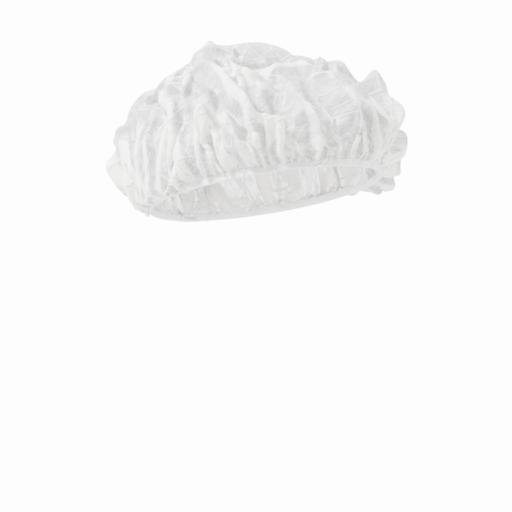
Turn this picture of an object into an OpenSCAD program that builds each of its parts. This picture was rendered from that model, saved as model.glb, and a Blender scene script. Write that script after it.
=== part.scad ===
// Disposable bouffant cap, in the shape it takes when it is worn.
// +Z is up, the forehead faces -Y and the origin is the centre of the head opening,
// in the plane of the binding's lower edge. Millimetres.
// The soft cap is built as a forehead half and a nape half, which part along the
// opening's plane when the elastic edge is stretched.

/* [Head opening] */
// Width of the opening inside the binding, ear to ear
opening_w = 152; // [130:1:190]
// Length of the opening inside the binding, forehead to nape
opening_l = 195; // [165:1:240]
// Lean of the opening's plane in degrees, forehead side up
opening_tilt = 11.5; // [0:0.5:20]
// Gap between the forehead half and the nape half at rest
split_gap = 0.4; // [0.3:0.05:1]

/* [Crown] */
// Height of the crown's top above the opening's plane
crown_h = 116; // [90:1:150]
// How far the crown puffs out past the opening over the ears
side_puff = 22; // [14:1:50]
// How far the crown puffs out past the opening at the forehead
front_puff = 14; // [10:1:40]
// How far the crown puffs out past the opening at the nape
rear_puff = 25; // [15:1:50]
// Height of the crown's widest line above the opening's plane
belly_h = 34; // [24:1:45]
// How far the sheet sags between the binding and the widest line, at the nape
flare_droop = 7; // [0:0.5:9]
// Thickness of the shell that stands for the loosely folded sheet
crown_wall = 0.8; // [0.6:0.1:1.5]
// Roundness of the dome: 1 is an ellipse, less is fuller at the shoulder
dome_power = 0.82; // [0.7:0.02:1]
// Number of soft folds around the crown
fold_count = 13; // [8:1:18]
// Depth of the soft folds
fold_depth = 3.4; // [0:0.2:5]
// Height of the soft humps and hollows on the top
hump_depth = 5; // [0:0.5:8]

/* [Edge binding] */
// Thickness of each leg of the folded binding strip
binding_leg = 0.4; // [0.3:0.05:0.8]
// How far the crown's gathered hem reaches into the binding
hem_overlap = 2.4; // [1.8:0.1:4]
// Clearance round what lies inside the binding
inside_gap = 0.1; // [0.05:0.05:0.3]
// Length of the binding strip that laps over its own start at the nape
lap_length = 16; // [10:1:30]

/* [Elastic] */
// Width of the flat elastic band
elastic_w = 2; // [1.5:0.1:4]
// Thickness of the elastic band
elastic_t = 0.7; // [0.4:0.1:1.2]

/* [Stitching] */
// Length of one stitch along the binding
stitch_pitch = 3.4; // [2.8:0.1:5]
// Thickness of the sewing thread
thread_d = 0.3; // [0.2:0.05:0.5]
// Gap in each row between one stitch and the next
stitch_gap = 0.5; // [0.3:0.1:0.8]
// Clearance between the thread and the faces that it lies along
thread_clear = 0.12; // [0.1:0.02:0.3]
// Number of bars in the tack that closes the binding at the nape
tack_bars = 9; // [5:1:15]

/* [Hidden] */

// Binding section: a U that opens upwards, with the elastic in its fold
slot_w = max(crown_wall, elastic_t) + 2 * inside_gap;
binding_t = slot_w + 2 * binding_leg;
elastic_low = binding_leg + inside_gap;
hem_low = elastic_low + elastic_w + inside_gap;
binding_h = hem_low + hem_overlap;
stitch_h = hem_low + hem_overlap / 2;
outer_face = binding_t / 2;

// Half axes of the oval that the middle of the binding follows, and of the widest line
rim_x = opening_w / 2 + binding_t / 2;
rim_y = opening_l / 2 + binding_t / 2;
belly_x = rim_x + side_puff;
belly_front = rim_y + front_puff;
belly_rear = rim_y + rear_puff;

// The sheet rises out of the binding before it flares outwards
hem_clear = 1.2;
hem_top = binding_h + crown_wall / 2 + hem_clear;

// Shares of a meridian taken by the hem and by the flare under the widest line
hem_end = 0.06;
flare_end = 0.34;
// Points along the hem, the flare and the dome, and steps round each half
hem_points = 2;
flare_points = 6;
dome_points = 11;
turn_steps = 44;
rim_steps = 48;
normal_step = 0.004;

// Turn angles: 0 is the forehead, 90 the left ear, 180 the nape
front_turn = [-90, 90];
rear_turn = [90, 270];

function lerp(a, b, t) = a + (b - a) * t;
function smooth(t) = let (c = max(0, min(1, t))) c * c * (3 - 2 * c);
function unit(v) = v / norm(v);
function rim_point(turn) = [rim_x * sin(turn), -rim_y * cos(turn)];
function rim_out(turn) = unit([rim_y * sin(turn), -rim_x * cos(turn)]);
function belly_point(turn) =
    [belly_x * sin(turn), -(cos(turn) > 0 ? belly_front : belly_rear) * cos(turn)];

// Share of the way through one stretch of the meridian
function hem_share(s) = min(1, s / hem_end);
function flare_share(s) = max(0, min(1, (s - hem_end) / (flare_end - hem_end)));
function dome_share(s) = max(0, min(1, (s - flare_end) / (1 - flare_end)));

// Soft folds run up from the gathers and fade towards the top
function fold(turn, s) =
    fold_depth * smooth(flare_share(s) * 1.3) * (1 - 0.6 * smooth(dome_share(s)))
    * (0.6 * sin(fold_count * turn + 50 * sin(3 * turn) + 70 * dome_share(s))
    + 0.4 * sin((2 * fold_count - 3) * turn + 80 - 50 * dome_share(s)));

// Humps and hollows that break the dome's outline
function hump(turn, s) =
    hump_depth * sin(180 * dome_share(s))
    * (0.6 * cos(2 * turn - 70) + 0.4 * cos(5 * turn + 30));

// The sheet leaves the binding at a slant and is upright at the widest line
function flare_rise(f) = 0.5 * f + 0.5 * (1 - cos(90 * f));

// The loose sheet sags most at the nape and not at all at the forehead
function droop(turn, s) = flare_droop * (1 - cos(turn)) / 2 * sin(180 * flare_share(s));

function sheet_height(turn, s) =
    dome_share(s) > 0 ? lerp(belly_h, crown_h, pow(sin(90 * dome_share(s)), dome_power))
    : flare_share(s) > 0
        ? lerp(hem_top, belly_h, flare_rise(flare_share(s))) - droop(turn, s)
        : lerp(hem_low, hem_top, hem_share(s));

function shrink(s) = dome_share(s) > 0 ? pow(max(0, cos(90 * dome_share(s))), dome_power) : 1;

// The top is level when the opening's plane leans, so it is sheared back
function levelling(y, s) = y * tan(opening_tilt) * smooth(dome_share(s) * 0.6 + flare_share(s) * 0.4);

function sheet_middle(turn, s) =
    let (across = lerp(rim_point(turn), belly_point(turn), sin(90 * flare_share(s))))
    let (flat = (across + unit(across) * fold(turn, s)) * shrink(s))
    [flat.x, flat.y, sheet_height(turn, s) + hump(turn, s) + levelling(flat.y, s)];

function sheet_normal(turn, s) =
    let (low = max(0, s - normal_step), high = min(1 - normal_step, s + normal_step))
    unit(cross(sheet_middle(turn + 1, s) - sheet_middle(turn - 1, s),
        sheet_middle(turn, high) - sheet_middle(turn, low)));

// side is 1 on the outside and -1 on the inside. The two ends of a half stay on its cut
function sheet_point(turn, s, side) =
    let (p = sheet_middle(turn, s) + sheet_normal(turn, s) * side * crown_wall / 2)
    abs(cos(turn)) < 0.001 ? [p.x, 0, p.z] : p;
function pole(side) = [0, 0, crown_h + side * crown_wall / 2];

meridian = concat(
    [for (i = [0:hem_points - 1]) hem_end * i / hem_points],
    [for (i = [0:flare_points - 1]) lerp(hem_end, flare_end, i / flare_points)],
    [for (i = [0:dome_points - 1]) lerp(flare_end, 1, i / dome_points)]);

module crown_half(turns) {
    m = len(meridian);
    ring = 2 * m;
    rings = turn_steps;
    points = concat(
        [for (i = [0:rings]) let (turn = lerp(turns[0], turns[1], i / rings))
            for (k = [0:ring - 1])
                k < m ? sheet_point(turn, meridian[k], 1)
                : sheet_point(turn, meridian[ring - 1 - k], -1)],
        [pole(1), pole(-1)]);
    outer_pole = ring * (rings + 1);
    inner_pole = outer_pole + 1;
    sides = [for (i = [0:rings - 1]) for (k = [0:ring - 1]) if (k != m - 1)
        let (a = i * ring + k, b = i * ring + (k + 1) % ring)
        each [[a, b, a + ring], [b, b + ring, a + ring]]];
    tops = [for (i = [0:rings - 1]) let (a = i * ring + m - 1)
        each [[a, outer_pole, a + ring], [a + 1, a + ring + 1, inner_pole]]];
    starts = [for (k = [0:m - 2]) let (a = k, b = ring - 1 - k)
        each [[a, b, a + 1], [a + 1, b, b - 1]]];
    ends = [for (k = [0:m - 2]) let (a = rings * ring + k, b = rings * ring + ring - 1 - k)
        each [[a, a + 1, b], [a + 1, b - 1, b]]];
    last = rings * ring + m - 1;
    caps = [[m - 1, m, outer_pole], [outer_pole, m, inner_pole],
        [last, outer_pole, last + 1], [outer_pole, inner_pole, last + 1]];
    polyhedron(points, concat(sides, tops, starts, ends, caps), convexity = 10);
}

// A closed section, as [outwards, up] points, carried along the oval of the binding
module rim_sweep(section, turns, steps) {
    n = len(section);
    points = [for (i = [0:steps]) let (turn = lerp(turns[0], turns[1], i / steps))
        for (p = section) let (xy = rim_point(turn) + rim_out(turn) * p[0]) [xy.x, xy.y, p[1]]];
    sides = [for (i = [0:steps - 1]) for (k = [0:n - 1])
        let (a = i * n + k, b = i * n + (k + 1) % n)
        each [[a, b, a + n], [b, b + n, a + n]]];
    first = [for (k = [n - 1:-1:0]) k];
    last = [for (k = [0:n - 1]) steps * n + k];
    polyhedron(points, concat(sides, [first, last]), convexity = 6);
}

// Arc length along the binding's oval from one turn angle, for stitches of equal length
arc_step = 1;
function arc_table(turns) =
    [for (t = turns[0], s = 0; t <= turns[1];
        s = s + norm(rim_point(t + arc_step) - rim_point(t)), t = t + arc_step) [s, t]];
function arc_length(table) = table[len(table) - 1][0];

// Places its children at one turn angle, with X along the binding and Y outwards
module at_turn(turn) {
    p = rim_point(turn);
    out = rim_out(turn);
    translate([p.x, p.y, 0]) rotate([0, 0, atan2(out.y, out.x) - 90]) children();
}

// Half the angle that the binding's lap spans at the nape
lap_turn = lap_length / 2 / rim_x * 180 / PI;

module stitch_row(turns) {
    table = arc_table(turns);
    total = arc_length(table);
    count = round(total / stitch_pitch);
    for (i = [0:count - 1]) {
        turn = lookup((i + 0.5) * total / count, table);
        if (abs(turn - 180) > lap_turn + stitch_pitch / rim_x * 90 / PI)
            at_turn(turn) children();
    }
}

stitch_l = stitch_pitch - stitch_gap;

// One needle stitch: a bar on the outside and two ends that go through to the inside
module needle_stitch() {
    reach = outer_face + thread_clear + thread_d;
    translate([0, 0, stitch_h - thread_d / 2]) linear_extrude(thread_d) difference() {
        translate([-stitch_l / 2, -reach]) square([stitch_l, 2 * reach]);
        translate([-stitch_l / 2 + thread_d, -reach - thread_d])
            square([stitch_l - 2 * thread_d, 2 * reach]);
    }
}

// One looper stitch: two bars on the inside that lie above and below the needle's ends
module looper_stitch() {
    for (side = [-1, 1])
        translate([-stitch_l / 2, -outer_face - thread_clear - thread_d,
            stitch_h - thread_d / 2 + side * (thread_d + thread_clear)])
            cube([stitch_l, thread_d, thread_d]);
}

binding_section = [[outer_face, 0], [outer_face, binding_h], [slot_w / 2, binding_h],
    [slot_w / 2, binding_leg], [-slot_w / 2, binding_leg], [-slot_w / 2, binding_h],
    [-outer_face, binding_h], [-outer_face, 0]];
elastic_section = [[elastic_t / 2, elastic_low], [elastic_t / 2, elastic_low + elastic_w],
    [-elastic_t / 2, elastic_low + elastic_w], [-elastic_t / 2, elastic_low]];
lap_in = outer_face + thread_clear;
lap_section = [[lap_in + binding_leg, 0], [lap_in + binding_leg, binding_h],
    [lap_in, binding_h], [lap_in, 0]];

module worn() {
    rotate([-opening_tilt, 0, 0]) children();
}
module forehead_side() {
    worn() translate([0, -split_gap / 2, 0]) children();
}
module nape_side() {
    worn() translate([0, split_gap / 2, 0]) children();
}

module crown_front() {
    color([0.93, 0.93, 0.92]) forehead_side() crown_half(front_turn);
}
module crown_rear() {
    color([0.93, 0.93, 0.92]) nape_side() crown_half(rear_turn);
}
module binding_front() {
    color([0.95, 0.94, 0.93]) forehead_side() rim_sweep(binding_section, front_turn, rim_steps);
}
module binding_rear() {
    color([0.95, 0.94, 0.93]) nape_side() rim_sweep(binding_section, rear_turn, rim_steps);
}
module binding_lap() {
    color([0.95, 0.94, 0.93]) nape_side()
        rim_sweep(lap_section, [180 - lap_turn, 180 + lap_turn], 6);
}
module elastic_front() {
    color([0.9, 0.9, 0.88]) forehead_side() rim_sweep(elastic_section, front_turn, rim_steps);
}
module elastic_rear() {
    color([0.9, 0.9, 0.88]) nape_side() rim_sweep(elastic_section, rear_turn, rim_steps);
}
module needle_thread_front() {
    color("white") forehead_side() stitch_row(front_turn) needle_stitch();
}
module needle_thread_rear() {
    color("white") nape_side() stitch_row(rear_turn) needle_stitch();
}
module looper_thread_front() {
    color("white") forehead_side() stitch_row(front_turn) looper_stitch();
}
module looper_thread_rear() {
    color("white") nape_side() stitch_row(rear_turn) looper_stitch();
}

// Upright bars of thread through the lap, the binding, the elastic's ends and the hem
module nape_tack() {
    tack_w = lap_length * 0.6;
    inner = -outer_face - thread_clear - thread_d;
    outer = lap_in + binding_leg + thread_clear + thread_d;
    color("white") nape_side() for (i = [0:tack_bars - 1])
        at_turn(180 + (i / (tack_bars - 1) - 0.5) * tack_w / rim_x * 180 / PI)
            rotate([90, 0, 90]) linear_extrude(thread_d, center = true) difference() {
                translate([inner, elastic_low]) square([outer - inner, stitch_h - elastic_low]);
                translate([inner + thread_d, elastic_low + thread_d])
                    square([outer - inner - 2 * thread_d, stitch_h - elastic_low - 2 * thread_d]);
            }
}

crown_front();
crown_rear();
binding_front();
binding_rear();
binding_lap();
elastic_front();
elastic_rear();
needle_thread_front();
needle_thread_rear();
looper_thread_front();
looper_thread_rear();
nape_tack();
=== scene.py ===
"""Looks of a disposable bouffant cap with a stitched elastic edge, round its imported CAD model.

Lengths are in metres. A turn is an angle in degrees round the head opening: 0 is the forehead,
90 the wearer's left, 180 the nape. "Opening frame" means the plane of the binding's lower edge,
before it leans back on the head.
"""

import math

import bpy
import numpy as np
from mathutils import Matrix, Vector


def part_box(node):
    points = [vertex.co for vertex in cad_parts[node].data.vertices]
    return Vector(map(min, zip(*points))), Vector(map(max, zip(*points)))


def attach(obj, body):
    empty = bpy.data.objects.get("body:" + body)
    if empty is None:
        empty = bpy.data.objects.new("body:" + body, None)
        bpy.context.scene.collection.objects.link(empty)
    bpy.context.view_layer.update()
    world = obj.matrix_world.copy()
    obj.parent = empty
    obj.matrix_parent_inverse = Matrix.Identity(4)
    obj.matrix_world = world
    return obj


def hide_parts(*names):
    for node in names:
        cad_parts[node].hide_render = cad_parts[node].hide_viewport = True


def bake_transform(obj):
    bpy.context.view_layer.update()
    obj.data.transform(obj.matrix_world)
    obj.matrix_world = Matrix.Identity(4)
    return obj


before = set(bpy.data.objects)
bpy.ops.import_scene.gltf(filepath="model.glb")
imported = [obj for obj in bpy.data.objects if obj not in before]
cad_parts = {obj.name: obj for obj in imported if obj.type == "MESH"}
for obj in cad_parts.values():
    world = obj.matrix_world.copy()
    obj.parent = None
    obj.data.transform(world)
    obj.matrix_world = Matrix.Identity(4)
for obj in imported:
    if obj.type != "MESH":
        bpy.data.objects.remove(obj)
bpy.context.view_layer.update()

# The opening and the edge, as the CAD model has them
TILT = math.radians(11.5)
RIM_X = 0.0769
RIM_Y = 0.0984
BINDING_H = 0.0050
BINDING_HALF = 0.0009
HEM_LOW = 0.0026
STITCH_H = 0.0038
STITCH_PITCH = 0.0034
STITCH_LENGTH = 0.0029
THREAD_R = 0.00015
RIM_MEAN = 0.0883
LAP_TURN = math.degrees(0.008 / RIM_X)
FOREHEAD, NAPE = "forehead_half", "nape_half"

# The crown's sheet before it was gathered, and the size of its mesh's triangles
SHEET_R = 0.2286
SHEET_EDGE = 0.0037

# The binding's strip, cut flat
STRIP_W, STRIP_L = 0.0118, 0.575


def smooth(a):
    """Eases from 0 to 1."""
    a = np.clip(a, 0, 1)
    return a * a * (3 - 2 * a)


def worn(p):
    """Opening frame to the shared frame."""
    c, s = math.cos(TILT), math.sin(TILT)
    return np.stack([p[..., 0], p[..., 1] * c + p[..., 2] * s, p[..., 2] * c - p[..., 1] * s], -1)


def rim_point(turn, out=0.0, up=0.0):
    """A point beside the opening's oval, in the opening frame."""
    a = np.radians(turn)
    x, y = RIM_X * np.sin(a), -RIM_Y * np.cos(a)
    nx, ny = np.sin(a) / RIM_X, -np.cos(a) / RIM_Y
    n = np.sqrt(nx * nx + ny * ny)
    return np.stack([x + out * nx / n, y + out * ny / n, up + 0 * x], -1)


def make_object(name, points, faces):
    """A smooth-shaded mesh object in the scene."""
    mesh = bpy.data.meshes.new(name)
    mesh.from_pydata([tuple(map(float, p)) for p in points], [], faces)
    mesh.update()
    mesh.polygons.foreach_set("use_smooth", [True] * len(mesh.polygons))
    obj = bpy.data.objects.new(name, mesh)
    bpy.context.scene.collection.objects.link(obj)
    return obj


def point_values(obj, name, values, kind="FLOAT"):
    """Stores one value for each vertex, for the material to read."""
    attribute = obj.data.attributes.new(name, kind, "POINT")
    key = "value" if kind == "FLOAT" else "vector"
    attribute.data.foreach_set(key, np.asarray(values, np.float32).ravel())


def coordinates(mesh):
    co = np.empty(len(mesh.vertices) * 3)
    mesh.vertices.foreach_get("co", co)
    return co.reshape(-1, 3)


# ---------------------------------------------------------------- camera


def make_camera():
    """Looks from the wearer's right front, almost level, past the cap to where the head would be."""
    azimuth, elevation = math.radians(-36), math.radians(1)
    distance, frame_width = 1.8, 0.3738
    aim_right, aim_up = -0.0062, -0.0445
    back = Vector((math.sin(azimuth) * math.cos(elevation),
                   -math.cos(azimuth) * math.cos(elevation), math.sin(elevation)))
    right = Vector((math.cos(azimuth), math.sin(azimuth), 0))
    data = bpy.data.cameras.new("camera")
    data.sensor_width = 36
    data.lens = data.sensor_width * distance / frame_width
    camera = bpy.data.objects.new("camera", data)
    bpy.context.scene.collection.objects.link(camera)
    camera.location = right * aim_right + back.cross(right) * aim_up + back * distance
    camera.rotation_euler = back.to_track_quat("Z", "Y").to_euler()
    bpy.context.scene.camera = camera


make_camera()

# ---------------------------------------------------------------- crown: the round sheet

# The widest line: its share of the way from the top to the edge, and its height
BELLY_T = 0.68
BELLY_H = 0.044
TOP_H = 0.122
# How far the widest line stands out past the opening, and how far the sheet hangs under it
SIDE_OUT, FRONT_OUT, REAR_OUT = 0.022, 0.009, 0.019
DROOP = 0.019
# Below 1 the dome's shoulder is fuller than an ellipse's
DOME_POWER = 0.95
# The flare under the widest line is partly straight and partly round
FLARE_STRAIGHT, FLARE_ROUND = 0.66, 0.34


def disc_grid():
    """A round sheet of triangles: distance from the centre, turn, faces, rings."""
    count = int(round(SHEET_R / SHEET_EDGE))
    radius, turn, faces, rings = [0.0], [0.0], [], [[0]]
    for j in range(1, count + 1):
        r = SHEET_R * j / count
        n = max(6, int(round(2 * math.pi * r / SHEET_EDGE)))
        rings.append(list(range(len(radius), len(radius) + n)))
        radius += [r] * n
        turn += [2 * math.pi * (i + 0.5 * (j % 2)) / n for i in range(n)]
    for i in range(len(rings[1])):
        faces.append((0, rings[1][i], rings[1][(i + 1) % len(rings[1])]))
    for inner, outer in zip(rings[1:], rings[2:]):
        a = b = 0
        while a < len(inner) or b < len(outer):
            next_a = turn[inner[(a + 1) % len(inner)]] + 2 * math.pi * ((a + 1) // len(inner))
            next_b = turn[outer[(b + 1) % len(outer)]] + 2 * math.pi * ((b + 1) // len(outer))
            corner = (inner[a % len(inner)], outer[b % len(outer)])
            if b >= len(outer) or (a < len(inner) and next_a <= next_b):
                faces.append((*corner, inner[(a + 1) % len(inner)]))
                a += 1
            else:
                faces.append((*corner, outer[(b + 1) % len(outer)]))
                b += 1
    return np.array(radius), np.array(turn), faces, rings


def envelope(turn, t):
    """The crown's smooth form in the opening frame; t is 0 at the top and 1 at the edge's ring."""
    dx, dy = np.sin(turn), -np.cos(turn)
    f = np.clip((1 - t) / (1 - BELLY_T), 0, 1)
    d = np.clip((BELLY_T - t) / BELLY_T, 0, 1)
    belly_x = (RIM_X + SIDE_OUT) * dx
    belly_y = np.where(dy < 0, RIM_Y + FRONT_OUT, RIM_Y + REAR_OUT) * dy
    out = np.sin(f * math.pi / 2)
    close = np.maximum(0, np.cos(d * math.pi / 2)) ** DOME_POWER
    x = (RIM_X * dx + (belly_x - RIM_X * dx) * out) * close
    y = (RIM_Y * dy + (belly_y - RIM_Y * dy) * out) * close
    rise = FLARE_STRAIGHT * f + FLARE_ROUND * (1 - np.cos(f * math.pi / 2))
    h = np.where(d > 0, BELLY_H + (TOP_H - BELLY_H) * np.sin(d * math.pi / 2) ** DOME_POWER,
                 BINDING_H + (BELLY_H - BINDING_H) * rise)
    h = h + y * math.tan(TILT) * smooth(d * 0.6 + f * 0.4)
    back = -np.cos(turn)
    hang = smooth((back + 0.9) / 1.2) * (1 - 0.5 * smooth((back - 0.6) / 0.4))
    h = h - DROOP * hang * np.sin(math.pi * np.clip(f / 0.8, 0, 1))
    return np.stack([x, y, h], -1)


def envelope_normal(turn, t):
    """Points out of the crown, and never down, so that folds don't hang under the edge."""
    along = envelope(turn + 0.02, t) - envelope(turn - 0.02, t)
    up = envelope(turn, np.clip(t - 0.01, 0.001, 1)) - envelope(turn, np.clip(t + 0.01, 0.001, 1))
    n = np.cross(along, up)
    n[:, 2] = np.maximum(n[:, 2], 0.15 * np.abs(n[:, :2]).max(1))
    n /= np.linalg.norm(n, axis=-1, keepdims=True) + 1e-12
    n[0] = (0, 0, 1)
    return n


# How far a fold leans over, as a share of its rise
LEAN = 0.7
FOLD_STRENGTH = 1.15
HIDDEN_FOLDS = 15

# Large folds: the turn and height in mm of the points that each runs through, half-width and
# rise in mm. The first ones are the folds that the near side shows.
FOLDS = [
    ([(-95, 5), (-88, 30), (-87, 52), (-92, 74), (-84, 84), (-62, 92)], 9, 7),
    ([(-55, 8), (-62, 35), (-76, 72)], 7, 6),
    ([(-46, 8), (-54, 35), (-66, 70)], 6, 5),
    ([(-24, 16), (-36, 33), (-47, 56), (-57, 82), (-71, 93)], 9, 8),
    ([(-57, 82), (-42, 92), (-32, 78), (-33, 60)], 8, 5),
    ([(-15, 18), (-17, 40), (-17, 66)], 7, 6),
    ([(-33, 90), (-2, 93), (6, 76), (2, 52), (-6, 18)], 9, 8),
    ([(20, 10), (30, 40), (26, 84)], 9, 7),
    ([(-108, 4), (-110, 30), (-104, 60)], 9, 7),
    ([(38, 6), (46, 30), (44, 60)], 9, 7),
]


def all_folds():
    """The folds above, and ones like them round the far side and the back."""
    rng = np.random.default_rng(16)
    folds = list(FOLDS)
    for k in range(HIDDEN_FOLDS):
        foot = 60 + 13 * k + rng.uniform(-4, 4)
        lean = rng.uniform(-14, 14)
        top = rng.uniform(48, 92)
        line = [(foot, 6), (foot + 0.4 * lean, top / 2), (foot + lean, top)]
        folds.append((line, rng.uniform(7, 10), rng.uniform(3.5, 6)))
    return folds


def fold_relief(base, normal):
    """How the large folds stand over the envelope at each point of base, leaning to one side."""
    t = np.linspace(1, 0.02, 200)
    relief, doubled = np.zeros_like(base), np.zeros(len(base))
    for line, half_width, rise in all_folds():
        path = []
        for turn, height in line:
            meridian = envelope(np.full(200, math.radians(turn)), t)
            climb = np.maximum.accumulate(meridian[:, 2])
            path.append(meridian[int(np.argmin(np.abs(climb - height / 1000)))])
        nearest, place = np.full(len(base), 1e9), np.zeros(len(base))
        along = np.zeros_like(base)
        for i, (a, b) in enumerate(zip(path, path[1:])):
            u = np.clip(((base - a) @ (b - a)) / ((b - a) @ (b - a)), 0, 1)
            distance = np.linalg.norm(base - (a + u[:, None] * (b - a)), axis=1)
            closer = distance < nearest
            nearest[closer] = distance[closer]
            place[closer] = (i + u[closer]) / (len(path) - 1)
            along[closer] = (b - a) / np.linalg.norm(b - a)
        reach = nearest / (half_width / 1000)
        ridge = np.clip(1 - reach, 0, 1) * (0.35 + 0.65 * np.sin(math.pi * (0.9 * place + 0.15)))
        dip = 0.35 * np.exp(-((reach - 1.4) / 0.5) ** 2)
        relief += (rise / 1000 * (ridge - dip))[:, None] * normal
        relief += (LEAN * rise / 1000 * ridge)[:, None] * np.cross(along, normal)
        doubled = np.maximum(doubled, np.clip(1 - reach, 0, 1) * smooth(4 * (1 - place)))
    return relief, doubled


GATHER_SIZE, UNEVEN_SIZE, RUFFLE_SIZE = 0.0042, 0.00015, 0.0009


def small_relief(r, turn, t):
    """Gathers that run up from the edge, and slight unevenness all over."""
    rng = np.random.default_rng(5)
    gathers = np.zeros_like(t)
    for k, size in ((5, 0.6), (8, 0.8), (13, 0.8), (21, 0.8), (34, 0.6), (55, 0.35)):
        phase, twist = rng.uniform(0, 2 * math.pi), rng.uniform(-3, 3)
        gathers += size * np.sin(k * turn + phase + twist * t + 0.6 * np.sin(2 * turn + phase))
    gathers *= np.clip(2 * t, 0, 1) * np.where(t < BELLY_T, (t / BELLY_T) ** 1.5, 1.0)
    ruffle = np.zeros_like(t)
    for k in (83, 97, 113):
        ruffle += np.sin(k * turn + rng.uniform(0, 6.28) + 3 * (1 - t) * rng.uniform(-5, 5))
    flat = np.stack([r * np.sin(turn), -r * np.cos(turn)], 1)
    uneven = np.zeros_like(t)
    for _ in range(60):
        way = rng.normal(size=2)
        way /= np.linalg.norm(way)
        uneven += np.sin(flat @ way * 2 * math.pi / rng.uniform(0.025, 0.07) + rng.uniform(0, 6.28))
    near_edge = np.clip((1 - t) / 0.06, 0, 1)
    return (GATHER_SIZE * gathers * near_edge + UNEVEN_SIZE * uneven * near_edge
            + RUFFLE_SIZE * ruffle * smooth((t - 0.80) / 0.1))


def head_form():
    """A plain head form, which the sheet must not sink into while it settles."""
    bpy.ops.mesh.primitive_uv_sphere_add(segments=48, ring_count=32, radius=1)
    head = bpy.context.object
    unit = coordinates(head.data)
    z = np.where(unit[:, 2] > 0, unit[:, 2] * 0.095, unit[:, 2] * 0.006)
    y = unit[:, 1] * 0.0955
    level = np.clip(z / 0.095, 0, 1) * y * math.tan(TILT)
    placed = worn(np.stack([unit[:, 0] * 0.0745, y, z + 0.004 + level], 1))
    head.data.vertices.foreach_set("co", placed.ravel())
    head.modifiers.new("solid", "COLLISION")
    head.collision.thickness_outer = 0.002
    head.collision.cloth_friction = 8
    return head


def settle(crown, flat, rings, frames=40):
    """Cloth: the sheet's rest shape is the flat disc, and its last two rings are sewn down."""
    crown.shape_key_add(name="Basis")
    rest = crown.shape_key_add(name="flat")
    rest.data.foreach_set("co", flat.ravel())
    group = crown.vertex_groups.new(name="pin")
    sewn = rings[-1] + rings[-2]
    group.add(sewn, 1.0, "REPLACE")
    group.add([i for ring in rings[:-2] for i in ring], 0.01, "REPLACE")
    head = head_form()
    cloth = crown.modifiers.new("cloth", "CLOTH")
    s = cloth.settings
    s.quality = 5
    s.mass = 0.0002
    s.air_damping = 1
    s.tension_stiffness = s.compression_stiffness = 60
    s.shear_stiffness = 30
    s.bending_model = "ANGULAR"
    s.bending_stiffness = 0.8
    s.bending_damping = 0.5
    s.tension_damping = s.compression_damping = s.shear_damping = 5
    s.vertex_group_mass = "pin"
    s.pin_stiffness = 1
    s.rest_shape_key = rest
    s.effector_weights.gravity = 0
    c = cloth.collision_settings
    c.use_collision = True
    c.distance_min = 0.002
    c.use_self_collision = True
    c.self_distance_min = 0.0012
    cloth.point_cache.frame_start = 1
    cloth.point_cache.frame_end = frames + 1
    scene = bpy.context.scene
    scene.frame_end = frames + 1
    for number in range(1, frames + 1):
        scene.frame_set(number)
    evaluated = crown.evaluated_get(bpy.context.evaluated_depsgraph_get())
    mesh = evaluated.to_mesh()
    settled = coordinates(mesh)
    evaluated.to_mesh_clear()
    crown.modifiers.remove(cloth)
    crown.shape_key_clear()
    crown.data.vertices.foreach_set("co", settled.ravel())
    bpy.data.objects.remove(head)
    scene.frame_set(1)


# Where the worn crown stands up or sinks, in mm: turn, distance from the upright axis and
# height of the place, its reach, then how far it moves outward and upward.
PULLS = [
    (-134, 120, 4, 19, -10, 0),
    (-148, 100, 66, 24, -9, -2),
    (-152, 92, 86, 27, -15, -9),
    (90, 10, 124, 44, 0, -15),
    (31, 114, 56, 15, -4, 0),
    (-124, 84, 86, 24, -9, -6),
    (-172, 42, 114, 26, 0, -13),
    (44, 74, 90, 12, 0, -9),
    (27, 73, 91, 7, 0, -11),
    (56, 56, 94, 8, 0, 4),
    (34, 88, 84, 10, 4, 9),
    (36, 104, 66, 20, 7, 0),
    (60, 98, 16, 24, 6, -2),
    (68, 92, 6, 20, 5, -10),
    (-152, 108, -12, 13, 3, -5),
    (-137, 122, 22, 6, 4, 1),
    (-118, 62, 102, 16, -8, -6),
    (-174, 76, 107, 18, -3, -8),
]


def pull_form(p, t):
    """Moves the settled sheet gently round each place in PULLS, and its sewn edge not at all."""
    free = smooth((1 - t) / 0.12)
    for turn, far, height, reach, out, up in PULLS:
        a = math.radians(turn)
        way = np.array([math.sin(a), -math.cos(a), 0])
        place = (way * far + np.array([0, 0, height])) / 1000
        centre = p[int(np.argmin(np.linalg.norm(p - place, axis=1)))]
        near = np.exp(-(np.linalg.norm(p - centre, axis=1) / (reach / 1000)) ** 2)
        p = p + (near * free)[:, None] * (way * out + np.array([0, 0, up])) / 1000
    return p


def make_crown():
    """A flat round sheet, gathered into the worn form, settled, creased and finely gathered."""
    r, turn, faces, rings = disc_grid()
    last = r[rings[-2][0]]
    t = np.clip(r / last, 0, 1)
    base = envelope(turn, t)
    normal = envelope_normal(turn, t)
    relief, doubled = fold_relief(base, normal)
    relief = relief * FOLD_STRENGTH + small_relief(r, turn, t)[:, None] * normal
    start = base + relief * smooth((1 - t) / 0.08)[:, None]
    hem = np.array(rings[-1])
    start[hem] = rim_point(np.degrees(turn[hem]), 0.0, HEM_LOW)
    flat = np.stack([r * np.sin(turn), -r * np.cos(turn), 0 * r], 1)
    crown = make_object("crown", worn(start), faces)
    settle(crown, flat, rings)
    settled = flatten_facets(coordinates(crown.data), np.array(faces), t)
    settled = calm_edge(settled, np.array(faces), t)
    crown.data.vertices.foreach_set("co", pull_form(settled, t).ravel())
    crown.data.update()
    point_values(crown, "sheet_place", flat, "FLOAT_VECTOR")
    round_place = np.stack([np.sin(turn), -np.cos(turn), t], 1)
    point_values(crown, "gather_place", round_place, "FLOAT_VECTOR")
    point_values(crown, "doubled", doubled)
    subdivide(crown, 1)
    fine_folds(crown)
    mark_creases(crown)
    return crown


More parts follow.
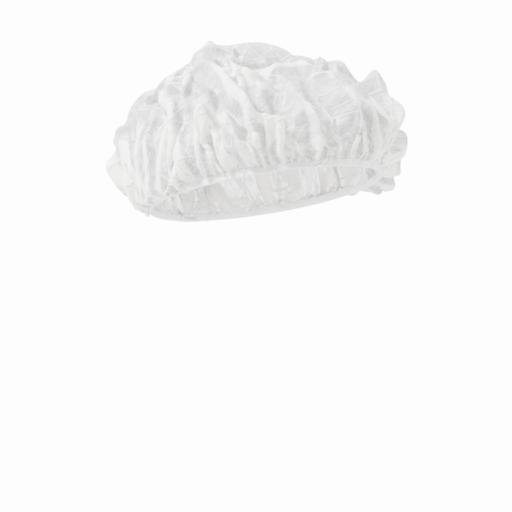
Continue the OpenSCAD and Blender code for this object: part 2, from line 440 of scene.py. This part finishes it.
def stored(obj, name, width):
    """The values that point_values kept, a row of width numbers for each vertex."""
    data = obj.data.attributes[name].data
    values = np.empty(len(data) * width, np.float32)
    data.foreach_get("value" if width == 1 else "vector", values)
    return values.reshape(-1, width).astype(float)


PLEATS, CREASES = 88, 46
# Close gathers over the edge: fewest and most round it, half height, where they start
GATHERS = ((88, 132, 0.0014, 0.83), (40, 62, 0.0012, 0.74))


def fine_lines():
    """Small folds as straight lines on the flat sheet: two ends, half-width and rise in mm."""
    rng = np.random.default_rng(23)
    lines = []
    for k in range(PLEATS):
        foot = 2 * math.pi * (k + rng.uniform(-0.35, 0.35)) / PLEATS
        lean = rng.uniform(-0.16, 0.16)
        top = SHEET_R * rng.choice([0.50, 0.60, 0.70, 0.80]) * rng.uniform(0.94, 1.06)
        ends = [(SHEET_R * 0.975 * math.sin(foot), -SHEET_R * 0.975 * math.cos(foot)),
                (top * math.sin(foot + lean), -top * math.cos(foot + lean))]
        lines.append((ends, rng.uniform(4.5, 7.5), rng.uniform(2.2, 4.4)))
    for _ in range(CREASES):
        place, way = 2 * math.pi * rng.uniform(), 2 * math.pi * rng.uniform()
        r = SHEET_R * rng.uniform(0.12, 0.78)
        half = rng.uniform(0.012, 0.034)
        middle = np.array([r * math.sin(place), -r * math.cos(place)])
        step = half * np.array([math.sin(way), math.cos(way)])
        lines.append(((middle - step, middle + step), rng.uniform(4, 6), rng.uniform(0.9, 2.0)))
    return lines


def fine_folds(crown):
    """Adds the small folds and the close gathers over the edge to the settled sheet."""
    mesh = crown.data
    flat = stored(crown, "sheet_place", 3)[:, :2]
    around = stored(crown, "gather_place", 3)
    doubled = stored(crown, "doubled", 1)[:, 0]
    turn, t = np.arctan2(flat[:, 0], -flat[:, 1]), around[:, 2]
    rise = np.zeros(len(flat))
    for (a, b), half_width, height in fine_lines():
        a, b = np.array(a), np.array(b)
        u = np.clip((flat - a) @ (b - a) / ((b - a) @ (b - a)), 0, 1)
        reach = np.linalg.norm(flat - (a + u[:, None] * (b - a)), axis=1) / (half_width / 1000)
        ridge = np.clip(1 - reach, 0, 1)
        fade = 0.35 + 0.65 * np.sin(math.pi * np.clip(0.15 + 0.85 * u, 0, 1))
        rise += height / 1000 * fade * (ridge - 0.3 * np.exp(-((reach - 1.3) / 0.4) ** 2))
        doubled = np.maximum(doubled, ridge * fade * min(1, height / 2.2))
    rng = np.random.default_rng(31)
    for low, high, size, start in GATHERS:
        waves = [np.sin(rng.integers(low, high) * turn + rng.uniform(0, 6.28)) for _ in range(4)]
        wave = sum(waves) / 2
        rise += size * wave * smooth((t - start) / 0.12)
    rise *= smooth((1 - t) / 0.03)
    normals = np.empty(len(flat) * 3)
    mesh.vertices.foreach_get("normal", normals)
    moved = coordinates(mesh) + rise[:, None] * normals.reshape(-1, 3)
    mesh.vertices.foreach_set("co", moved.ravel())
    mesh.attributes["doubled"].data.foreach_set("value", doubled.astype(np.float32))
    mesh.update()


def flatten_facets(co, faces, t, softness=0.34, rounds=9):
    """Gathers the bending of the settled sheet into sharp creases between flatter areas."""
    corners = np.sort(np.concatenate([faces[:, [0, 1]], faces[:, [1, 2]], faces[:, [2, 0]]]), 1)
    owner = np.tile(np.arange(len(faces)), 3)
    order = np.lexsort((corners[:, 1], corners[:, 0]))
    corners, owner = corners[order], owner[order]
    twin = np.flatnonzero((corners[1:] == corners[:-1]).all(1))
    one, two = owner[twin], owner[twin + 1]
    cross = np.cross(co[faces[:, 1]] - co[faces[:, 0]], co[faces[:, 2]] - co[faces[:, 0]])
    size = np.linalg.norm(cross, axis=1)
    normal = cross / (size[:, None] + 1e-15)
    for _ in range(rounds):
        weight = np.exp(-((normal[one] - normal[two]) ** 2).sum(1) / (2 * softness**2))
        gathered = normal * size[:, None]
        for i, j in ((one, two), (two, one)):
            np.add.at(gathered, i, normal[j] * (weight * size[j])[:, None])
        normal = gathered / (np.linalg.norm(gathered, axis=1, keepdims=True) + 1e-15)
    count = np.zeros(len(co))
    for k in range(3):
        np.add.at(count, faces[:, k], 1)
    free = smooth((1 - t) / 0.30)[:, None]
    for _ in range(rounds):
        middle = co[faces].mean(1)
        move = np.zeros_like(co)
        for k in range(3):
            gap = ((middle - co[faces[:, k]]) * normal).sum(1)
            np.add.at(move, faces[:, k], normal * gap[:, None])
        co = co + free * move / count[:, None]
    return co


def calm_edge(co, faces, t, rounds=6):
    """Evens out the lumps over the sewn edge, where fine gathers take their place."""
    weight = (smooth((t - 0.79) / 0.12) * smooth((1 - t) / 0.015))[:, None]
    for _ in range(rounds):
        total, count = np.zeros_like(co), np.zeros(len(co))
        for i, j in ((0, 1), (1, 2), (2, 0)):
            for a, b in ((i, j), (j, i)):
                np.add.at(total, faces[:, a], co[faces[:, b]])
                np.add.at(count, faces[:, a], 1)
        co = co + 0.5 * weight * (total / count[:, None] - co)
    return co


def subdivide(obj, levels):
    """Applies Catmull-Clark subdivision."""
    modifier = obj.modifiers.new("subdivide", "SUBSURF")
    modifier.levels = modifier.render_levels = levels
    bpy.context.view_layer.objects.active = obj
    obj.select_set(True)
    bpy.ops.object.modifier_apply(modifier=modifier.name)
    obj.select_set(False)


# Bending, in 1/m, where a crease starts to whiten (a denser sheet, and less of the painted see-through
# shade), and how much more makes it white
CREASE_FROM, CREASE_RANGE = 90, 220


def mark_creases(obj):
    """Stores how sharply the sheet is bent at each point, for the whitening along its creases. The
    whitening makes the sheet denser there and lifts it out of the painted see-through shade.
    """
    mesh = obj.data
    mesh.update()
    co = coordinates(mesh)
    edges = np.empty(len(mesh.edges) * 2, int)
    mesh.edges.foreach_get("vertices", edges)
    a, b = edges.reshape(-1, 2).T
    total, count, length = np.zeros_like(co), np.zeros(len(co)), np.zeros(len(co))
    span = np.linalg.norm(co[a] - co[b], axis=1)
    for i, j in ((a, b), (b, a)):
        np.add.at(total, i, co[j])
        np.add.at(count, i, 1)
        np.add.at(length, i, span)
    normals = np.empty(len(co) * 3)
    mesh.vertices.foreach_get("normal", normals)
    offset = np.abs(((total / count[:, None] - co) * normals.reshape(-1, 3)).sum(1))
    bend = offset / (length / count + 1e-9) ** 2
    point_values(obj, "crease", smooth((bend - CREASE_FROM) / CREASE_RANGE))


crown = make_crown()

# ---------------------------------------------------------------- edge binding


def make_binding():
    """One folded strip, gathered a little, whose end laps over its start at the nape."""
    stations = 620
    turns = np.linspace(180 - LAP_TURN, 540 + LAP_TURN, stations)
    rng = np.random.default_rng(8)
    leg = [(1, BINDING_H), (1, 0.0040), (1, 0.0029), (1, 0.0018), (0.97, 0.0009), (0.72, 0.0003)]
    section = [(BINDING_HALF * out, up) for out, up in leg] + [(0.0, 0.0)]
    section += [(-BINDING_HALF * out, up) for out, up in reversed(leg)]
    waves = []
    for _ in range(7):
        waves.append((rng.uniform(0.0019, 0.0046), rng.uniform(0, 6.28), rng.uniform(-260, 260)))
    place = np.radians(turns) * RIM_MEAN
    over = smooth((turns - (540 - LAP_TURN) + 1.5) / 1.5)
    rows = []
    for out, up in section:
        ripple = sum(np.sin(place * 2 * math.pi / w + p + up * skew) for w, p, skew in waves) / 7
        size = 0.00022 if out > 0 else 0.00012
        stitched = 1 - 0.7 * math.exp(-(((up - STITCH_H) / 0.0006) ** 2))
        shift = out + math.copysign(1, out or 1) * ripple * size * stitched
        wavy_edge = 0.0002 * np.sin(place * 700 + 1.0) + 0.00015 * np.sin(place * 1130)
        wavy_up = up + wavy_edge * (up >= BINDING_H)
        lap = over * (0.00045 if out >= 0 else -0.00025)
        rows.append(rim_point(turns, shift + lap, wavy_up - 0.0003 * over * (out == 0)))
    grid = np.stack(rows, 1)
    width = len(section)
    faces = [(i * width + j, i * width + j + 1, (i + 1) * width + j + 1, (i + 1) * width + j)
             for i in range(stations - 1) for j in range(width - 1)]
    binding = make_object("binding", worn(grid.reshape(-1, 3)), faces)
    arc = STRIP_W / width * np.arange(width)
    flat = np.stack([np.repeat(place, width), np.tile(arc, stations), np.zeros(stations * width)], 1)
    point_values(binding, "sheet_place", flat, "FLOAT_VECTOR")
    point_values(binding, "gather_place", 0 * flat, "FLOAT_VECTOR")
    point_values(binding, "doubled", np.ones(len(flat)))
    mark_creases(binding)
    return binding


binding = make_binding()

# ---------------------------------------------------------------- elastic and threads


def make_elastic():
    """A flat braided elastic loop inside the fold, ribbed along its length."""
    stations = 420
    low, high, half = 0.0005, 0.0025, 0.00035
    turns = np.linspace(0, 360, stations, endpoint=False)
    section = [(half, low + 0.0002), (half, 0.0010), (half * 0.86, 0.0012), (half, 0.0014),
               (half, 0.0018), (half * 0.86, 0.0020), (half, 0.0022), (half * 0.6, high),
               (-half * 0.6, high), (-half, 0.0022), (-half * 0.86, 0.0020), (-half, 0.0018),
               (-half, 0.0014), (-half * 0.86, 0.0012), (-half, 0.0010), (-half, low + 0.0002),
               (-half * 0.6, low), (half * 0.6, low)]
    grid = np.stack([rim_point(turns, out, up) for out, up in section], 1)
    width = len(section)
    faces = []
    for i in range(stations):
        k = (i + 1) % stations
        for j in range(width):
            m = (j + 1) % width
            faces.append((i * width + j, i * width + m, k * width + m, k * width + j))
    return make_object("elastic", worn(grid.reshape(-1, 3)), faces)


elastic = make_elastic()


def stitch_turns():
    """Middles of the stitches, a pitch apart round the oval, clear of the lap."""
    fine = np.linspace(180 + LAP_TURN + 1, 540 - LAP_TURN - 1, 4000)
    p = rim_point(fine)
    along = np.concatenate([[0], np.cumsum(np.linalg.norm(np.diff(p, axis=0), axis=1))])
    count = int(along[-1] / STITCH_PITCH)
    return np.interp((np.arange(count) + 0.5) * along[-1] / count, along, fine)


def tube(paths, radius, sides=6):
    """Round thread along each path, closed at both ends."""
    points, faces = [], []
    for path in paths:
        path = np.asarray(path)
        tangent = np.gradient(path, axis=0)
        tangent /= np.linalg.norm(tangent, axis=1, keepdims=True)
        side = np.cross(tangent, (0.13, 0.21, 0.97))
        side /= np.linalg.norm(side, axis=1, keepdims=True)
        up = np.cross(side, tangent)
        base = len(points)
        for p, s, u in zip(path, side, up):
            for k in range(sides):
                a = 2 * math.pi * k / sides
                points.append(p + radius * (math.cos(a) * s + math.sin(a) * u))
        for i in range(len(path) - 1):
            for k in range(sides):
                m = (k + 1) % sides
                row, above = base + i * sides, base + (i + 1) * sides
                faces.append((row + k, row + m, above + m, above + k))
        faces.append(tuple(base + k for k in reversed(range(sides))))
        faces.append(tuple(base + (len(path) - 1) * sides + k for k in range(sides)))
    return np.array(points), faces


def stitch_path(middle, profile):
    """profile: place along the stitch from -1 to 1, distance out from the oval, height."""
    half = math.degrees(STITCH_LENGTH / 2 / RIM_MEAN)
    place, out, up = np.array(profile).T
    return rim_point(middle + place * half, out, up)


def make_needle_thread():
    """Outside stitches, whose ends go down through the binding."""
    face = BINDING_HALF + 0.00012
    profile = [(-1, -face, STITCH_H), (-1, face * 0.4, STITCH_H), (-0.96, face, STITCH_H),
               (-0.7, face + THREAD_R * 1.6, STITCH_H), (0, face + THREAD_R * 1.9, STITCH_H),
               (0.7, face + THREAD_R * 1.6, STITCH_H), (0.96, face, STITCH_H),
               (1, face * 0.4, STITCH_H), (1, -face, STITCH_H)]
    points, faces = tube([stitch_path(m, profile) for m in stitch_turns()], THREAD_R)
    return make_object("needle_thread", worn(points), faces)


def make_looper_thread():
    """The chain on the inside: two strands a stitch long that cross at each needle hole."""
    face = -(BINDING_HALF + 0.00012 + THREAD_R)
    paths = []
    for middle in stitch_turns():
        for side in (-1, 1):
            lift = 0.00042 * side
            profile = [(-1, face, STITCH_H + 0.3 * lift), (-0.6, face - 0.00008, STITCH_H + lift),
                       (0, face - 0.0001, STITCH_H + lift), (0.6, face - 0.00008, STITCH_H + lift),
                       (1, face, STITCH_H + 0.3 * lift)]
            paths.append(stitch_path(middle, profile))
    points, faces = tube(paths, THREAD_R)
    return make_object("looper_thread", worn(points), faces)


def make_tack():
    """A dense zigzag through the lap and the elastic's ends."""
    low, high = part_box("nape_tack")
    bars = 17
    reach = math.degrees((high.x - low.x) / 2 / RIM_X) - 0.2
    outer, inner = BINDING_HALF + 0.00075, -BINDING_HALF - 0.0005
    path = []
    for i in range(bars):
        turn = 180 - reach + 2 * reach * i / (bars - 1)
        heights = (0.0008, 0.0037) if i % 2 else (0.0037, 0.0008)
        for k in range(5):
            up = heights[0] + (heights[1] - heights[0]) * k / 4
            path.append(rim_point(turn + 0.35 * (k / 4 - 0.5), outer, up))
    back = []
    for k in range(31):
        up = 0.0022 + 0.0012 * (-1) ** k
        back.append(rim_point(180 - reach + 2 * reach * k / 30, inner, up))
    points, faces = tube([path, back], THREAD_R)
    return make_object("nape_tack", worn(points), faces)


needle_thread = make_needle_thread()
looper_thread = make_looper_thread()
tack = make_tack()

# ---------------------------------------------------------------- materials


def new_material(name):
    """An empty node material and its tree."""
    material = bpy.data.materials.new(name)
    material.use_nodes = True
    material.node_tree.nodes.clear()
    return material, material.node_tree


def add(tree, kind, inputs=None, **settings):
    """Adds a shader node, with each input either linked or set."""
    node = tree.nodes.new("ShaderNode" + kind)
    for key, value in settings.items():
        setattr(node, key, value)
    for key, value in (inputs or {}).items():
        if isinstance(value, bpy.types.NodeSocket):
            tree.links.new(value, node.inputs[key])
        else:
            node.inputs[key].default_value = value
    return node


def maths(tree, operation, a, b=0.0, clamp=False):
    return add(tree, "Math", {0: a, 1: b}, operation=operation, use_clamp=clamp).outputs[0]


def mapped(tree, value, low, high, to_low=0.0, to_high=1.0):
    node = add(tree, "MapRange", {0: value, 1: low, 2: high, 3: to_low, 4: to_high})
    return node.outputs[0]


def noise(tree, place, scale, detail, roughness):
    node = add(tree, "TexNoise", {"Vector": place, "Scale": scale, "Detail": detail,
                                  "Roughness": roughness})
    return node.outputs[0]


def fibre_lines(tree, place, angle, seed):
    """Thin stray fibres that lie one way on the sheet."""
    turned = add(tree, "Mapping", {"Vector": place, "Rotation": (0, 0, math.radians(angle)),
                                   "Location": (seed, seed * 0.7, 0), "Scale": (80, 800, 1)}).outputs[0]
    streak = add(tree, "TexNoise", {"Vector": turned, "Scale": 1.0, "Detail": 2.0,
                                    "Roughness": 0.55, "Distortion": 0.6})
    return mapped(tree, streak.outputs[0], 0.60, 0.74)


def crease_lines(tree, place, scale, seed, width):
    """Straight thin creases that meet in corners, and fade out in places."""
    shifted = add(tree, "Mapping", {"Vector": place, "Location": (seed, -seed, 0)}).outputs[0]
    edge = add(tree, "TexVoronoi", {"Vector": shifted, "Scale": scale, "Randomness": 1.0},
               feature="DISTANCE_TO_EDGE", voronoi_dimensions="2D")
    line = mapped(tree, edge.outputs["Distance"], 0.0, width, 1.0, 0.0)
    fade = add(tree, "TexNoise", {"Vector": shifted, "Scale": scale * 0.8, "Detail": 1.0})
    return maths(tree, "MULTIPLY", line, mapped(tree, fade.outputs[0], 0.42, 0.56))


def gather_lines(tree, around):
    """Fine white pleats that fan up from the sewn edge and fade out."""
    spread = add(tree, "Mapping", {"Vector": around, "Scale": (26, 26, 7)}).outputs[0]
    streak = noise(tree, spread, 1.0, 3.0, 0.6)
    height = add(tree, "SeparateXYZ", {0: around}).outputs[2]
    return maths(tree, "MULTIPLY", mapped(tree, streak, 0.52, 0.62), mapped(tree, height, 0.80, 0.98))


def nonwoven(name, cover, crease_cover, see_through_shade_colour, colour):
    """Thin spunbond sheet: cloudy, fibrous, partly see-through, whiter along its creases. Its thin
    parts carry painted shade, a grey colour for the dim inside seen through them. The creases are
    whiter partly because the sheet is denser there and partly because they are lifted out of that
    painted shade.
    """
    material, tree = new_material(name)
    place = add(tree, "Attribute", attribute_name="sheet_place").outputs["Vector"]
    bend = add(tree, "Attribute", attribute_name="crease").outputs["Fac"]
    around = add(tree, "Attribute", attribute_name="gather_place").outputs["Vector"]
    doubled = add(tree, "Attribute", attribute_name="doubled").outputs["Fac"]
    cloud = noise(tree, place, 90.0, 5.0, 0.62)
    fine = noise(tree, place, 420.0, 3.0, 0.6)
    fibres = fibre_lines(tree, place, 12, 1.3)
    for angle, seed in ((71, 4.1), (133, 7.7)):
        fibres = maths(tree, "MAXIMUM", fibres, fibre_lines(tree, place, angle, seed))
    lines = crease_lines(tree, place, scale=24.0, seed=0.31, width=0.032)
    finer = crease_lines(tree, place, scale=43.0, seed=2.7, width=0.045)
    lines = maths(tree, "MAXIMUM", lines, finer)
    lines = maths(tree, "MAXIMUM", lines, gather_lines(tree, around))
    creases = maths(tree, "MAXIMUM", lines, bend)
    density = maths(tree, "ADD", mapped(tree, cloud, 0.3, 0.7, cover - 0.14, cover + 0.14),
                    mapped(tree, fine, 0.3, 0.7, -0.06, 0.06))
    density = maths(tree, "ADD", density, maths(tree, "MULTIPLY", fibres, 0.13))
    creases = maths(tree, "MAXIMUM", creases, mapped(tree, doubled, 0.44, 0.60))
    weight = maths(tree, "ADD", density, maths(tree, "MULTIPLY", creases, crease_cover))
    density = maths(tree, "MINIMUM", weight, 1.0)
    # Painted shade: where the sheet is thin and open, its colour goes to the grey see-through colour,
    # which stands for the dim inside seen through the sheet. Thick, creased and doubled parts go to the
    # white colour.
    shade_to_white = mapped(tree, weight, cover - 0.08, cover + 0.26)
    tint = add(tree, "MixRGB", {"Fac": shade_to_white, "Color1": see_through_shade_colour, "Color2": colour}).outputs[0]
    height = maths(tree, "ADD", maths(tree, "MULTIPLY", fibres, 0.5), fine)
    height = maths(tree, "ADD", height, maths(tree, "MULTIPLY", lines, 3.0))
    bump = add(tree, "Bump", {"Height": height, "Strength": 0.5, "Distance": 0.0008}).outputs[0]
    front = add(tree, "BsdfPrincipled", {"Base Color": tint, "Roughness": 0.72, "Normal": bump,
                                         "Sheen Weight": 0.25, "Sheen Roughness": 0.5,
                                         "Specular IOR Level": 0.25}).outputs[0]
    glow = add(tree, "BsdfTranslucent", {"Color": tint, "Normal": bump}).outputs[0]
    sheet = add(tree, "MixShader", {"Fac": 0.32, 1: front, 2: glow}).outputs[0]
    clear = add(tree, "BsdfTransparent", {"Color": (1, 1, 1, 1)}).outputs[0]
    mixed = add(tree, "MixShader", {"Fac": density, 1: clear, 2: sheet}).outputs[0]
    add(tree, "OutputMaterial", {"Surface": mixed})
    return material


def twisted_thread():
    """Spun thread, with its plies as slanting bands, darker in the grooves between them as painted
    shade.
    """
    material, tree = new_material("sewing_thread")
    place = add(tree, "TexCoord").outputs["Object"]
    ply = add(tree, "TexWave", {"Vector": place, "Scale": 900.0, "Distortion": 1.5, "Detail": 1.0},
              bands_direction="DIAGONAL")
    # Painted shade: the colour is darker where the bump is low, in the grooves between the plies.
    tint = add(tree, "MixRGB", {"Fac": ply.outputs["Fac"], "Color1": (0.80, 0.80, 0.79, 1),
                                "Color2": (0.93, 0.93, 0.92, 1)}).outputs[0]
    bump = add(tree, "Bump", {"Height": ply.outputs["Fac"], "Strength": 0.5,
                              "Distance": 0.00008}).outputs[0]
    shader = add(tree, "BsdfPrincipled", {"Base Color": tint, "Roughness": 0.55, "Normal": bump,
                                          "Sheen Weight": 0.3, "Sheen Roughness": 0.4})
    add(tree, "OutputMaterial", {"Surface": shader.outputs[0]})
    return material


def braided_elastic():
    """A close braid, darker between its strands as painted shade."""
    material, tree = new_material("elastic_band")
    place = add(tree, "TexCoord").outputs["Object"]
    weave = add(tree, "TexVoronoi", {"Vector": place, "Scale": 1400.0}, feature="F1")
    # Painted shade: the colour darkens away from each cell's middle, towards the gaps between the
    # strands.
    tint = add(tree, "MixRGB", {"Fac": weave.outputs["Distance"], "Color1": (0.88, 0.87, 0.85, 1),
                                "Color2": (0.76, 0.75, 0.73, 1)}).outputs[0]
    bump = add(tree, "Bump", {"Height": weave.outputs["Distance"], "Strength": 0.4,
                              "Distance": 0.0001}).outputs[0]
    shader = add(tree, "BsdfPrincipled", {"Base Color": tint, "Roughness": 0.6, "Normal": bump})
    add(tree, "OutputMaterial", {"Surface": shader.outputs[0]})
    return material


thread_finish = twisted_thread()
# Each finish's see-through shade colour is painted shade. The crown's grey-blue and the binding's light
# grey stand for the dim inside seen through the thin white sheet.
crown_finish = nonwoven("crown_sheet", cover=0.85, crease_cover=0.30,
                        see_through_shade_colour=(0.345, 0.37, 0.38, 1), colour=(0.99, 0.968, 0.937, 1))
binding_finish = nonwoven("binding_strip", cover=0.88, crease_cover=0.12,
                          see_through_shade_colour=(0.85, 0.86, 0.86, 1), colour=(0.97, 0.965, 0.955, 1))
crown.data.materials.append(crown_finish)
binding.data.materials.append(binding_finish)
elastic.data.materials.append(braided_elastic())
for thread in (needle_thread, looper_thread, tack):
    thread.data.materials.append(thread_finish)

# ---------------------------------------------------------------- frame, hidden CAD parts, motion

PIECES = (
    (crown, "crown_sheet", ("crown_front", "crown_rear")),
    (binding, "binding_strip", ("binding_front", "binding_rear", "binding_lap")),
    (elastic, "elastic_band", ("elastic_front", "elastic_rear")),
    (needle_thread, "sewing_thread", ("needle_thread_front", "needle_thread_rear")),
    (looper_thread, "sewing_thread", ("looper_thread_front", "looper_thread_rear")),
)
for piece, slot, nodes in PIECES:
    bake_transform(piece)
    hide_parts(*nodes)
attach(tack, NAPE)
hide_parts("nape_tack")

# ---------------------------------------------------------------- stage


def make_floor():
    """A pale round floor, below what the main view shows."""
    depth, radius, sides = -0.36, 1.0, 96
    edge = []
    for k in range(sides):
        a = 2 * math.pi * k / sides
        edge.append((radius * math.cos(a), radius * math.sin(a), depth))
    floor = make_object("floor", edge, [tuple(range(sides))])
    material, tree = new_material("floor_pale")
    shader = add(tree, "BsdfPrincipled", {"Base Color": (0.92, 0.92, 0.92, 1), "Roughness": 0.9})
    add(tree, "OutputMaterial", {"Surface": shader.outputs[0]})
    floor.data.materials.append(material)


def make_light(name, place, size, power):
    """A square soft light that faces the cap."""
    data = bpy.data.lights.new(name, "AREA")
    data.size = size
    data.energy = power
    light = bpy.data.objects.new(name, data)
    light.location = place
    light.rotation_euler = (Vector((0, 0, 0.04)) - Vector(place)).to_track_quat("-Z", "Y").to_euler()
    bpy.context.scene.collection.objects.link(light)


def make_sky(seen, light):
    """A white backdrop that looks brighter than the light it casts."""
    world = bpy.data.worlds.new("studio")
    world.use_nodes = True
    tree = world.node_tree
    background = tree.nodes["Background"]
    background.inputs[0].default_value = (1, 1, 1, 1)
    straight = tree.nodes.new("ShaderNodeLightPath").outputs["Is Camera Ray"]
    strength = tree.nodes.new("ShaderNodeMapRange")
    strength.inputs[3].default_value = light
    strength.inputs[4].default_value = seen
    tree.links.new(straight, strength.inputs[0])
    tree.links.new(strength.outputs[0], background.inputs[1])
    bpy.context.scene.world = world


make_floor()
make_light("key", (-1.15, 0.15, 1.05), 0.45, 178)
make_light("fill", (1.1, -1.25, 0.1), 1.2, 60)
make_sky(14.0, 1.15)
